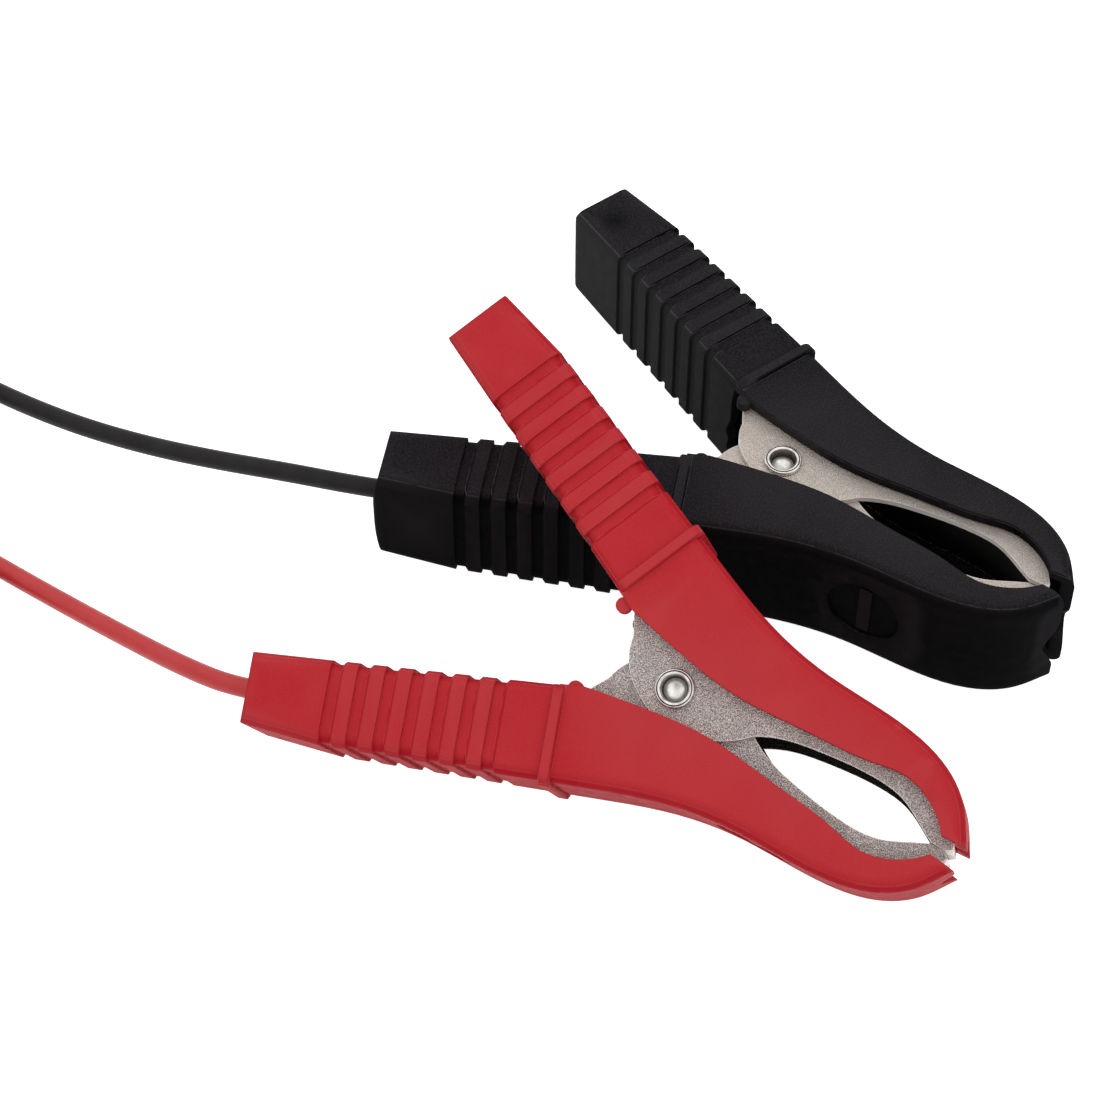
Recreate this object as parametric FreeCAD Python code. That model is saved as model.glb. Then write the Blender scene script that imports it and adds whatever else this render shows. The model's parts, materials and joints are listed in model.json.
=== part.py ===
import FreeCAD, Part
import math
import os

# Battery clamp leads: a black and a red insulated spring clamp, each with its
# lead, its coil of spare lead and a ring terminal. Millimetres, +Z up, floor at z = 0.
# Each clamp is built about its rivet: +x runs to the jaw tip, +z towards the viewer's
# side of the clamp, and a point of a handle is given by s (along the handle from the
# rivet) and t (away from the other handle).

V = FreeCAD.Vector

# Rubber sleeves
HANDLE_ANGLE = 22.0
HANDLE_END = 71.2
HANDLE_START = 18.2
SLEEVE_WIDTH = 23.6
SLEEVE_TAPER = 0.0218
WALL = 2.0
OUTER_EDGE = 18.1
OUTER_FALL = 0.114
INNER_EDGE = 1.48
INNER_RISE = 0.044
OUTER_RADIUS = 2.3
INNER_RADIUS = 1.8
END_RADIUS = 1.7
END_DOME = 38.0
BEND_START = 13.0

# Grip ribs
END_BLOCK = 15.0
RIB_COUNT = 6
RIB_PITCH = 4.57
RIB_LENGTH = 2.4
RIB_DEPTH = 0.5
RIB_SLOPE = 0.6
STEP = 0.1
TOLERANCE = 0.01
GUARD_START = 17.2
GUARD_LENGTH = 2.1
GUARD_HEIGHT = 0.8
GUARD_SLOPE = 0.3
TAB_RADIUS = 1.3
TAB_PLACE = 15.7
UPPER_TAB = 2.0
LOWER_TAB = 0.9

# Hood over the jaw
HOOD_OUTLINE = [(6.6, 17.2), (18.9, 14.65), (36.0, 13.65), (44.8, 11.0), (49.2, 7.6), (53.0, 2.0)]
HOOD_END_SLOPE = -56.6
INSET_STEPS = 8
RIM_OUTLINE = [(48.6, 1.7), (44.5, 5.2), (38.9, 6.9), (33.0, 6.0), (22.0, 4.9), (10.0, 4.0), (-2.0, 5.25)]
RIM_END = (-12.5, 7.3)
NOTCH_DEPTH = 2.6
NOTCH_WIDTH = 12.0
NOTCH_OFFSET = -1.6
NOTCH_SHOULDER = 0.7
NOTCH_TAPER = 0.35
MOUTH_EDGE = [(-9.7, 21.0), (-8.1, 20.1), (-6.6, 20.7), (-4.7, 20.4), (-3.3, 21.0), (0.2, 20.3),
              (4.3, 20.1), (9.7, 19.4)]
RECESS_PLACE = 22.5
RECESS_RADIUS = 6.6
RECESS_DEPTH = 0.5
SIGN_LENGTH = 10.4
SIGN_STROKE = 2.3
SIGN_HEIGHT = 0.35

# Sheet metal jaws
SHEET = 1.0
SEAT = 0.3
SIDE_GAP = 0.1
JAW_TIP = 50.2
BITE_GAP = 0.05
BITE_LENGTH = 2.6
BITE_WALL = 1.2
ARM_END = 50.0
ARM_GAP = 1.2
CAVITY_END = 58.0
JAW_OPENING = [(45.0, 1.4), (40.0, 3.75), (34.7, 4.3), (25.0, 3.3), (19.5, 2.1), (14.9, 0.0)]
EAR_OUTLINE = [(9.7, -4.0), (2.0, -5.8), (-4.7, -3.7), (-8.3, -0.7), (-10.3, 3.8)]
TOOTH_PITCH = 2.4
TOOTH_DEPTH = 0.9

# Rivet and spring
RIVET_RADIUS = 2.5
RIVET_FIT = 0.05
RIVET_HEAD = 3.25
RIVET_HEAD_HEIGHT = 0.7
RIVET_ROLL = 0.3
RIVET_BORE = 2.35
RIVET_FLOOR = 1.9
RIVET_DEPTH = 1.7
RIVET_POINT = 0.3
SPRING_WIRE = 1.6
SPRING_RADIUS = 4.5
SPRING_TURNS = 7
SPRING_PITCH = 1.55
SPRING_LEG = 24.0
SPRING_LEG_SHARE = 0.95

# Leads
LEAD_DIAMETER = 3.5
LEAD_FIT = 0.1
CORE_DIAMETER = 2.2
CORE_END = 47.0
LEAD_START = 62.0
LEAD_STRAIGHT = 74.0
LEAD_LIFT = 0.05
PRESS_GAP = 0.02
ARC_SHARE = 0.45
LEAD_PLACE = 10.2
CRIMP_RADIUS = 2.2
CRIMP_LENGTH = 5.0
CRIMP_STRAP = 4.0
COIL_MIDDLE = 19.25
COIL_TURNS_ACROSS = 2
COIL_LAYERS = 2
TERMINAL_BORE = 3.2
TERMINAL_PAD = 6.0
TERMINAL_PLATE = 0.8
TERMINAL_BARREL = 1.9
TERMINAL_SLEEVE = 2.5
TERMINAL_SLEEVE_LENGTH = 10.0
TERMINAL_NECK = 4.0
TERMINAL_INSET = 1.5
TERMINAL_FIT = 0.05
TERMINAL_PLACE = 70.0
TERMINAL_SPREAD = 40.0

# Where each clamp lies
BLACK_TURN = -32.24
BLACK_PLACE = V(41.95, 1.72, 12.6)
BLACK_SLEEVE_PUSH = 2.0
RED_TURN = -32.34
RED_NOSE_DOWN = 7.58
RED_ROLL = 28.34
RED_PLACE = V(21.55, -46.3, 21.15)

# Routes of the leads past the sleeves, chosen by hand, and the coils they run into
BLACK_ROUTE = [V(-46.2, 8.9, 11.7), V(-59.2, 13.3, 9.7), V(-72.0, 18.7, 7.2), V(-85.0, 25.2, 4.9),
               V(-98.0, 33.1, 2.9), V(-110.5, 41.6, 1.8), V(-122.5, 50.1, 1.8)]
RED_ROUTE = [V(-62.0, -31.9, 9.6), V(-73.8, -22.9, 6.8), V(-85.6, -13.7, 4.2), V(-97.4, -4.8, 2.5),
             V(-108.5, 3.4, 1.8)]

HANDLE_COS = math.cos(math.radians(HANDLE_ANGLE))
HANDLE_SIN = math.sin(math.radians(HANDLE_ANGLE))
HALF_WIDTH = SLEEVE_WIDTH / 2.0
CAVITY_HALF = HALF_WIDTH - WALL - STEP
UPPER_SIDE = CAVITY_HALF - SEAT
LOWER_SIDE = UPPER_SIDE - SHEET - SIDE_GAP
TOOL = 60.0


def at(s, t, z=0.0):
    """Point of the upper handle in the clamp's frame."""
    return V(-s * HANDLE_COS + t * HANDLE_SIN, s * HANDLE_SIN + t * HANDLE_COS, z)


def inner_edge(s):
    return INNER_EDGE + INNER_RISE * s


def outer_edge(s):
    return OUTER_EDGE - OUTER_FALL * max(0.0, s - (HANDLE_END - END_BLOCK))


def half_width(s):
    return HALF_WIDTH - SLEEVE_TAPER * max(0.0, s - HANDLE_START)


def prism(edges, half_depth):
    """Solid of a closed outline in the xy plane, the same depth on both sides of it."""
    face = Part.Face(Part.Wire(Part.sortEdges(edges)[0]))
    solid = face.extrude(V(0, 0, 2.0 * half_depth))
    solid.translate(V(0, 0, -half_depth))
    return solid


def line(a, b):
    return Part.makeLine(a, b)


def cylinder(start, end, radius):
    way = end - start
    return Part.makeCylinder(radius, way.Length, start, way)


def smooth(points, start=None, end=None):
    """Spline through the points, with a tangent at either end where one is given."""
    curve = Part.BSplineCurve()
    if start is None or end is None:
        curve.interpolate(points)
    else:
        curve.interpolate(Points=points, InitialTangent=start, FinalTangent=end)
    return curve


def hood_curve(inset=0.0):
    """Outer curve of the hood from the handle to its end, moved inwards by the inset."""
    along = V(HANDLE_COS, -HANDLE_SIN, 0)
    slope = math.radians(HOOD_END_SLOPE)
    down = V(math.cos(slope), math.sin(slope), 0)
    points = [at(BEND_START, OUTER_EDGE)] + [V(x, y, 0) for x, y in HOOD_OUTLINE]
    curve = smooth(points, along, down)
    if inset == 0.0:
        return curve
    moved = []
    reach = curve.LastParameter - curve.FirstParameter
    for step in range(INSET_STEPS + 1):
        u = curve.FirstParameter + reach * step / INSET_STEPS
        tangent = curve.tangent(u)[0]
        moved.append(curve.value(u) + V(tangent.y, -tangent.x, 0) * inset)
    return smooth(moved, along, down)


def handle_section(s, outset=0.0, inner_outset=None):
    """Rounded rectangle across the handle at s, larger all round by the outset."""
    if inner_outset is None:
        inner_outset = outset
    low = inner_edge(s) - inner_outset
    high = outer_edge(s) + outset
    side = half_width(s) + outset
    corners = [(low, side, INNER_RADIUS), (low, -side, INNER_RADIUS),
               (high, -side, OUTER_RADIUS), (high, side, OUTER_RADIUS)]
    centres = []
    for t, z, radius in corners:
        centre_t = t + radius if t == low else t - radius
        centre_z = z - radius if z > 0 else z + radius
        centres.append((centre_t, centre_z, radius))
    starts = [90.0, 180.0, 270.0, 0.0]
    arcs = []
    for (centre_t, centre_z, radius), start in zip(centres, starts):
        ends = []
        for angle in (start, start + 45.0, start + 90.0):
            turn = math.radians(angle)
            ends.append(at(s, centre_t + radius * math.cos(turn), centre_z + radius * math.sin(turn)))
        arcs.append(Part.Arc(*ends).toShape())
    edges = []
    for index, arc in enumerate(arcs):
        edges.append(arc)
        following = arcs[(index + 1) % len(arcs)]
        edges.append(line(arc.Vertexes[-1].Point, following.Vertexes[0].Point))
    return Part.Wire(edges)


def handle_body():
    """Closed grip with its ribs, from the guard to the rounded end."""
    block_edge = HANDLE_END - END_BLOCK
    stations = [(HANDLE_START, 0.0)]
    for index in range(RIB_COUNT, -1, -1):
        edge = block_edge - index * RIB_PITCH
        groove = RIB_PITCH - RIB_LENGTH
        stations.append((edge - groove, 0.0))
        stations.append((edge - groove + RIB_SLOPE, -RIB_DEPTH))
        stations.append((edge, -RIB_DEPTH))
        stations.append((edge + STEP, 0.0))
    stations.append((HANDLE_END, 0.0))
    body = Part.makeLoft([handle_section(s, outset) for s, outset in stations], True, True)
    end_edges = []
    for face in body.Faces:
        middle = face.CenterOfMass
        if (middle - at(HANDLE_END, 0)).dot(V(-HANDLE_COS, HANDLE_SIN, 0)) > -TOLERANCE:
            end_edges = face.Edges
    across = V(HANDLE_SIN, HANDLE_COS, 0)
    dome = Part.makeCylinder(END_DOME, TOOL, at(HANDLE_END - END_DOME, -TOOL / 2), across)
    return body.makeFillet(END_RADIUS, end_edges).common(dome)


def guard_ring():
    """Raised rib in front of the grip, proud of all faces but the inner one."""
    low = GUARD_HEIGHT / 2.0
    stations = [(GUARD_START, low), (GUARD_START + GUARD_SLOPE, GUARD_HEIGHT),
                (GUARD_START + GUARD_LENGTH - GUARD_SLOPE, GUARD_HEIGHT), (GUARD_START + GUARD_LENGTH, low)]
    return Part.makeLoft([handle_section(s, outset, 0.0) for s, outset in stations], True, True)


def hood_body():
    """Hood over the jaw, still solid, with its long outer edges rounded."""
    curve = hood_curve()
    rim_points = [V(x, y, 0) for x, y in RIM_OUTLINE] + [V(RIM_END[0], RIM_END[1], 0)]
    inner = at(HANDLE_START, inner_edge(HANDLE_START))
    outer = at(HANDLE_START, OUTER_EDGE)
    bend = at(BEND_START, OUTER_EDGE)
    end = V(HOOD_OUTLINE[-1][0], HOOD_OUTLINE[-1][1], 0)
    edges = [line(inner, outer), line(outer, bend), curve.toShape(), line(end, rim_points[0]),
             smooth(rim_points).toShape(), line(rim_points[-1], inner)]
    body = prism(edges, HALF_WIDTH)
    rounded = []
    for edge in body.Edges:
        middle = edge.valueAt((edge.FirstParameter + edge.LastParameter) / 2.0)
        flat = V(middle.x, middle.y, 0)
        on_side = abs(abs(middle.z) - HALF_WIDTH) < TOLERANCE
        on_bend = flat.distanceToPoint((outer + bend) / 2) < TOLERANCE
        near_curve = flat.distanceToPoint(curve.value(curve.parameter(flat))) < TOLERANCE
        if on_side and (on_bend or near_curve) and edge.Length > OUTER_RADIUS:
            rounded.append(edge)
    return body.makeFillet(OUTER_RADIUS, rounded)


def cavity():
    """Room inside the sleeve: a closed pocket in the grip, open below under the hood."""
    curve = hood_curve(WALL)
    tip = curve.value(curve.LastParameter)
    high = OUTER_EDGE - WALL
    low_start = at(HANDLE_START, inner_edge(HANDLE_START) + WALL)
    below = at(HANDLE_START, -TOOL / 4.0)
    points = [low_start, at(CAVITY_END, inner_edge(CAVITY_END) + WALL), at(CAVITY_END, high - STEP),
              at(BEND_START, high)]
    edges = [line(a, b) for a, b in zip(points, points[1:])]
    edges += [curve.toShape(), line(tip, V(tip.x, below.y, 0)), line(V(tip.x, below.y, 0), below),
              line(below, low_start)]
    return prism(edges, CAVITY_HALF)


def end_notch():
    """Rounded V cut in the end edge of the hood's outer wall."""
    curve = hood_curve()
    end = curve.value(curve.LastParameter)
    way = curve.tangent(curve.LastParameter)[0]
    out = V(-way.y, way.x, 0)
    half = NOTCH_WIDTH / 2.0
    shoulder = -NOTCH_DEPTH * NOTCH_SHOULDER
    profile = [(NOTCH_DEPTH, NOTCH_WIDTH), (NOTCH_DEPTH, -NOTCH_WIDTH), (0, -half),
               (shoulder, -half * NOTCH_TAPER), (-NOTCH_DEPTH, 0), (shoulder, half * NOTCH_TAPER), (0, half)]
    points = [end + way * along + V(0, 0, NOTCH_OFFSET + across) - out * (WALL * 2) for along, across in profile]
    edges = [line(points[0], points[1]), line(points[1], points[2])]
    edges += [smooth(points[2:]).toShape(), line(points[-1], points[0])]
    return Part.Face(Part.Wire(Part.sortEdges(edges)[0])).extrude(out * (WALL * 3))


def mouth_cut():
    """Cuts the front edge of the grip's inner wall back to its wavy line."""
    low = inner_edge(HANDLE_START) - WALL
    front = HANDLE_START - STEP
    wave = [at(s, low, z) for z, s in MOUTH_EDGE]
    first = at(front, low, MOUTH_EDGE[0][0])
    last = at(front, low, MOUTH_EDGE[-1][0])
    edges = [smooth(wave).toShape(), line(wave[-1], last), line(last, first), line(first, wave[0])]
    face = Part.Face(Part.Wire(Part.sortEdges(edges)[0]))
    return face.extrude(V(HANDLE_SIN, HANDLE_COS, 0) * (WALL * 3))


def hood_skin(depth):
    """Everything above the surface that lies at the depth under the hood's outer face."""
    curve = hood_curve(depth)
    first = curve.value(curve.FirstParameter)
    last = curve.value(curve.LastParameter)
    high = OUTER_EDGE + TOOL
    over_last = V(last.x, high, 0)
    over_first = V(first.x, high, 0)
    edges = [curve.toShape(), line(last, over_last), line(over_last, over_first), line(over_first, first)]
    return prism(edges, HALF_WIDTH)


def polarity_mark(with_crossbar):
    """Round recess in the hood's outer wall and the raised sign standing in it."""
    recess_column = Part.makeCylinder(RECESS_RADIUS, TOOL, V(RECESS_PLACE, 0, 0), V(0, 1, 0))
    recess = recess_column.common(hood_skin(RECESS_DEPTH))
    half_length = SIGN_LENGTH / 2
    half_stroke = SIGN_STROKE / 2
    bar_corner = V(RECESS_PLACE - half_stroke, 0, -half_length)
    sign_columns = [Part.makeBox(SIGN_STROKE, TOOL, SIGN_LENGTH, bar_corner)]
    if with_crossbar:
        cross_corner = V(RECESS_PLACE - half_length, 0, -half_stroke)
        sign_columns.append(Part.makeBox(SIGN_LENGTH, TOOL, SIGN_STROKE, cross_corner))
    slab = hood_skin(RECESS_DEPTH * 2).cut(hood_skin(RECESS_DEPTH - SIGN_HEIGHT))
    signs = [column.common(slab) for column in sign_columns]
    return recess, signs


def sleeve(tab, lead_bore):
    """One rubber sleeve, drawn as the upper half of the clamp."""
    body = handle_body().fuse([hood_body(), guard_ring()])
    tab_centre = at(TAB_PLACE, inner_edge(TAB_PLACE) - tab + TAB_RADIUS, -HALF_WIDTH + OUTER_RADIUS / 4)
    tab_length = SLEEVE_WIDTH - OUTER_RADIUS / 2
    body = body.fuse(Part.makeCylinder(TAB_RADIUS, tab_length, tab_centre))
    body = body.cut([cavity(), end_notch(), mouth_cut()])
    if lead_bore:
        bore_start = at(CAVITY_END - WALL, LEAD_PLACE)
        bore_end = at(HANDLE_END + WALL, LEAD_PLACE)
        body = body.cut(cylinder(bore_start, bore_end, LEAD_DIAMETER / 2 + LEAD_FIT))
    return body.removeSplitter()


def marked(body, with_crossbar):
    """The sleeve with the sign of its pole in a round recess."""
    recess, signs = polarity_mark(with_crossbar)
    return body.cut(recess).fuse(signs)


def jaw(side):
    """Folded sheet jaw with its ears and its arm; side is half its outer width."""
    outer = WALL + SEAT
    inner = outer + SHEET
    arm_inner = WALL + ARM_GAP
    ear_points = [V(x, y, 0) for x, y in JAW_OPENING[-1:] + EAR_OUTLINE]
    bite = V(JAW_TIP, BITE_GAP, 0)
    bite_start = V(JAW_TIP - BITE_LENGTH, BITE_GAP, 0)
    opening_points = [bite_start] + [V(x, y, 0) for x, y in JAW_OPENING]
    arm_start = at(HANDLE_START, inner_edge(HANDLE_START) + arm_inner)
    arm_end = at(ARM_END, inner_edge(ARM_END) + arm_inner)
    curve = hood_curve(outer)
    tip = curve.value(curve.LastParameter)
    edges = [line(arm_end, at(ARM_END, OUTER_EDGE - outer)),
             line(at(ARM_END, OUTER_EDGE - outer), at(BEND_START, OUTER_EDGE - outer)),
             curve.toShape(), line(tip, bite), line(bite, bite_start), smooth(opening_points).toShape(),
             smooth(ear_points).toShape(), line(ear_points[-1], arm_start), line(arm_start, arm_end)]
    body = prism(edges, side)
    hollow_curve = hood_curve(inner)
    hollow_tip = hollow_curve.value(hollow_curve.LastParameter)
    inside_bite = V(bite.x - BITE_WALL, bite.y, 0)
    below = V(inside_bite.x, -TOOL / 4, 0)
    back = at(ARM_END + SHEET, 0)
    points = [at(BEND_START, OUTER_EDGE - inner), at(ARM_END + SHEET, OUTER_EDGE - inner), back,
              V(back.x, below.y, 0), below, inside_bite, hollow_tip]
    edges = [line(a, b) for a, b in zip(points, points[1:])] + [hollow_curve.toShape()]
    body = body.cut(prism(edges, side - SHEET))
    teeth = int(2 * side / TOOTH_PITCH)
    low = -TOOTH_DEPTH
    back = JAW_TIP - BITE_LENGTH
    for index in range(teeth):
        z = (index - (teeth - 1) / 2.0) * TOOTH_PITCH
        first = V(back, low, z - TOOTH_PITCH / 2)
        second = V(back, low, z + TOOTH_PITCH / 2)
        notch = Part.makePolygon([first, second, V(back, TOOTH_DEPTH, z), first])
        body = body.cut(Part.Face(notch).extrude(V(BITE_LENGTH * 2, 0, 0)))
    hole = cylinder(V(0, 0, -side - STEP), V(0, 0, side + STEP), RIVET_RADIUS + RIVET_FIT)
    return body.cut(hole)


def rolled(body, end, radius):
    """The body with its outermost edge of that radius rounded, on the side that end gives."""
    reach = max(end * vertex.Z for vertex in body.Vertexes)
    rounded = []
    for edge in body.Edges:
        place = edge.Vertexes[0].Point
        outermost = end * place.z > reach - TOLERANCE
        if outermost and abs(math.hypot(place.x, place.y) - radius) < TOLERANCE:
            rounded.append(edge)
    return body.makeFillet(RIVET_ROLL, rounded)


def rivet():
    """Tubular rivet with a rolled head on each side and a pointed floor in its mouth."""
    grip = UPPER_SIDE + SIDE_GAP
    body = Part.makeCylinder(RIVET_RADIUS, 2 * grip, V(0, 0, -grip))
    for end in (-1, 1):
        base = V(0, 0, end * grip)
        head = cylinder(base, base + V(0, 0, end * RIVET_HEAD_HEIGHT), RIVET_HEAD)
        body = body.fuse(rolled(head, end, RIVET_HEAD))
        top = V(0, 0, end * (grip + RIVET_HEAD_HEIGHT))
        inward = V(0, 0, -end)
        mouth = Part.makeCone(RIVET_BORE, RIVET_FLOOR, RIVET_DEPTH, top, inward)
        point = Part.makeCone(RIVET_FLOOR, 0, RIVET_POINT, top + inward * RIVET_DEPTH, inward)
        body = rolled(body.cut([mouth, point]), end, RIVET_BORE)
    return body.removeSplitter()


def spring():
    """Torsion spring wound close on the rivet, with a leg under the web of each arm."""
    radius = SPRING_WIRE / 2.0
    under_web = OUTER_EDGE - WALL - SEAT - SHEET - radius - STEP
    leg_end = at(SPRING_LEG, under_web)
    away = math.degrees(math.atan2(leg_end.y, leg_end.x))
    turn = math.radians(away) - math.acos(SPRING_RADIUS / leg_end.Length)
    top = (SPRING_TURNS - 1) * SPRING_PITCH / 2.0
    rings = [Part.makeTorus(SPRING_RADIUS, radius, V(0, 0, index * SPRING_PITCH - top))
             for index in range(SPRING_TURNS)]
    legs = []
    for side in (-1, 1):
        start = V(SPRING_RADIUS * math.cos(turn), side * SPRING_RADIUS * math.sin(turn), side * top)
        end = V(leg_end.x, side * leg_end.y, side * top)
        legs.append(cylinder(start, end, radius * SPRING_LEG_SHARE))
    return rings[0].fuse(rings[1:] + legs)


def core():
    """Bared copper strands of the lead, from the crimp to the lead's jacket."""
    return cylinder(at(CORE_END - CRIMP_LENGTH, LEAD_PLACE), at(LEAD_START, LEAD_PLACE), CORE_DIAMETER / 2)


def crimp(push):
    """Crimp on the strands, with a strap up to the web of the arm that the push lowers."""
    start = at(CORE_END - CRIMP_LENGTH, LEAD_PLACE)
    end = at(CORE_END, LEAD_PLACE)
    web = OUTER_EDGE - WALL - SEAT - SHEET - push * HANDLE_SIN
    barrel = cylinder(start, end, CRIMP_RADIUS)
    corners = [at(s, t, -CRIMP_STRAP / 2) for s, t in (
        (CORE_END - CRIMP_LENGTH, LEAD_PLACE), (CORE_END, LEAD_PLACE),
        (CORE_END, web), (CORE_END - CRIMP_LENGTH, web))]
    strap = Part.Face(Part.makePolygon(corners + corners[:1])).extrude(V(0, 0, CRIMP_STRAP))
    return barrel.fuse(strap).cut(cylinder(start, end, CORE_DIAMETER / 2 + PRESS_GAP))


def bent_path(points, note):
    """Straight runs joined by tangent arcs as large as the runs allow."""
    edges = []
    radii = []
    last = points[0]
    for before, corner, after in zip(points, points[1:], points[2:]):
        back = (before - corner).normalize()
        ahead = (after - corner).normalize()
        shorter = min((corner - before).Length, (after - corner).Length)
        half_turn = (math.pi - back.getAngle(ahead)) / 2.0
        reach = ARC_SHARE * shorter
        radius = reach / math.tan(half_turn)
        radii.append(radius)
        start = corner + back * reach
        end = corner + ahead * reach
        inward = (back + ahead).normalize()
        middle = corner + inward * (radius / math.cos(half_turn) - radius)
        edges.append(Part.LineSegment(last, start).toShape())
        edges.append(Part.Arc(start, middle, end).toShape())
        last = end
    edges.append(Part.LineSegment(last, points[-1]).toShape())
    wire = Part.Wire(edges)
    print(note, "arc radii", [round(radius) for radius in radii], "length", round(wire.Length, 1))
    return wire


def tube(points, note):
    """Round lead along the path, with its volume compared with section times length."""
    wire = bent_path(points, note)
    circle = Part.makeCircle(LEAD_DIAMETER / 2, points[0], points[1] - points[0])
    solid = wire.makePipeShell([Part.Wire(circle)], True, False)
    expected = wire.Length * math.pi * (LEAD_DIAMETER / 2) ** 2
    print(note, "volume", round(solid.Volume, 1), "expected", round(expected, 1))
    return solid


def coil_place(route):
    """Centre of the coil that the route runs into on its left, and the entry's angle."""
    heading = route[-1] - route[-2]
    heading = V(heading.x, heading.y, 0).normalize()
    left = V(-heading.y, heading.x, 0)
    outer_turn = COIL_MIDDLE + (COIL_TURNS_ACROSS - 1) * LEAD_DIAMETER / 2
    centre = V(route[-1].x, route[-1].y, 0) + left * outer_turn
    return centre, math.degrees(math.atan2(-left.y, -left.x))


def coil_ring(centre):
    """Closed ring that the turns of the spare lead fill."""
    half_band = COIL_TURNS_ACROSS * LEAD_DIAMETER / 2
    ring = Part.makeCylinder(COIL_MIDDLE + half_band, coil_height(), centre)
    return ring.cut(Part.makeCylinder(COIL_MIDDLE - half_band, coil_height(), centre))


def coil_height():
    return COIL_LAYERS * LEAD_DIAMETER + LEAD_LIFT


def terminal_line(centre, entry_angle):
    """Start and direction of the terminal, which lies across the top of the coil."""
    angle = math.radians(entry_angle + TERMINAL_PLACE)
    out = V(math.cos(angle), math.sin(angle), 0)
    along = V(-math.sin(angle), math.cos(angle), 0)
    spread = math.radians(TERMINAL_SPREAD)
    way = along * math.cos(spread) + out * math.sin(spread)
    height = coil_height() + TERMINAL_SLEEVE + LEAD_LIFT
    return centre + out * COIL_MIDDLE + V(0, 0, height), way


def terminal(start, way):
    """Ring terminal: a round barrel, a flat neck and a pad with the bolt hole."""
    barrel_start = start + way * TERMINAL_INSET
    barrel_end = start + way * (TERMINAL_SLEEVE_LENGTH + TERMINAL_INSET)
    barrel = cylinder(barrel_start, barrel_end, TERMINAL_BARREL)
    barrel = barrel.cut(cylinder(barrel_start, barrel_end, CORE_DIAMETER / 2))
    pad_centre = terminal_pad(start, way)
    low = V(0, 0, -TERMINAL_BARREL)
    side = V(-way.y, way.x, 0) * TERMINAL_BARREL
    neck_start = barrel_end - way * TERMINAL_INSET + low
    corners = [neck_start - side, neck_start + side, pad_centre + side, pad_centre - side]
    neck = Part.Face(Part.makePolygon(corners + corners[:1])).extrude(V(0, 0, TERMINAL_PLATE))
    pad = Part.makeCylinder(TERMINAL_PAD, TERMINAL_PLATE, pad_centre)
    body = barrel.fuse([neck, pad])
    return body.cut(Part.makeCylinder(TERMINAL_BORE, TERMINAL_PLATE, pad_centre))


def terminal_pad(start, way):
    """Centre of the bolt hole, on the pad's lower face."""
    reach = TERMINAL_SLEEVE_LENGTH + TERMINAL_INSET + TERMINAL_NECK + TERMINAL_PAD
    return start + way * reach + V(0, 0, -TERMINAL_BARREL)


def terminal_sleeve(start, way):
    """Plastic sleeve over the barrel and the end of the lead."""
    end = start + way * TERMINAL_SLEEVE_LENGTH
    return cylinder(start, end, TERMINAL_SLEEVE).cut(cylinder(start, end, TERMINAL_BARREL + TERMINAL_FIT))


def lower(shape):
    """The same piece for the lower half of the clamp."""
    return shape.mirror(V(0, 0, 0), V(0, 1, 0))


def placed(shape, place):
    """The piece moved from the clamp's frame to where the clamp lies."""
    moved = shape.copy()
    moved.Placement = place.multiply(moved.Placement)
    return moved


def clamp_pieces():
    """Pieces that both clamps share, in the clamp's frame: sleeves, then metal."""
    sleeves = {"upper_cover": sleeve(UPPER_TAB, False), "lower_cover": sleeve(LOWER_TAB, True)}
    metal = {
        "upper_jaw": jaw(UPPER_SIDE),
        "lower_jaw": lower(jaw(LOWER_SIDE)),
        "rivet": rivet(),
        "spring": spring(),
    }
    return sleeves, metal


def clamp(name, shared, place, push, with_upright):
    """Pieces of one clamp; its sleeves sit further on than its metal by the push."""
    sleeves, metal = shared
    metal_place = place.multiply(FreeCAD.Placement(V(-push, 0, 0), FreeCAD.Rotation()))
    pieces = {piece: placed(shape, metal_place) for piece, shape in metal.items()}
    pieces["crimp"] = placed(lower(crimp(push)), place)
    pieces["core"] = placed(lower(core()), place)
    pieces["upper_cover"] = placed(sleeves["upper_cover"], place)
    pieces["lower_cover"] = placed(lower(marked(sleeves["lower_cover"], with_upright)), place)
    return {name + "_" + piece: shape for piece, shape in pieces.items()}


def lead(name, place, route):
    """The lead from inside the lower grip to its coil, and the terminal on its end."""
    inside = at(LEAD_START, LEAD_PLACE)
    outside = at(LEAD_STRAIGHT, LEAD_PLACE)
    points = [place.multVec(V(inside.x, -inside.y, 0)), place.multVec(V(outside.x, -outside.y, 0))]
    centre, entry_angle = coil_place(route)
    ring = coil_ring(centre)
    start, way = terminal_line(centre, entry_angle)
    pieces = {
        "lead": tube(points + route, name + " lead").cut(ring),
        "lead_coil": ring,
        "terminal": terminal(start, way),
        "terminal_sleeve": terminal_sleeve(start, way),
    }
    return {name + "_" + piece: shape for piece, shape in pieces.items()}


def save(name, shape, shift):
    """Writes one piece, moved so that the set stands centred on the origin."""
    moved = shape.copy()
    moved.translate(shift)
    if not moved.isValid() or len(moved.Solids) != 1:
        print("look at", name, "valid", moved.isValid(), "solids", len(moved.Solids))
    moved.exportStep("parts/" + name + ".step")


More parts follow.
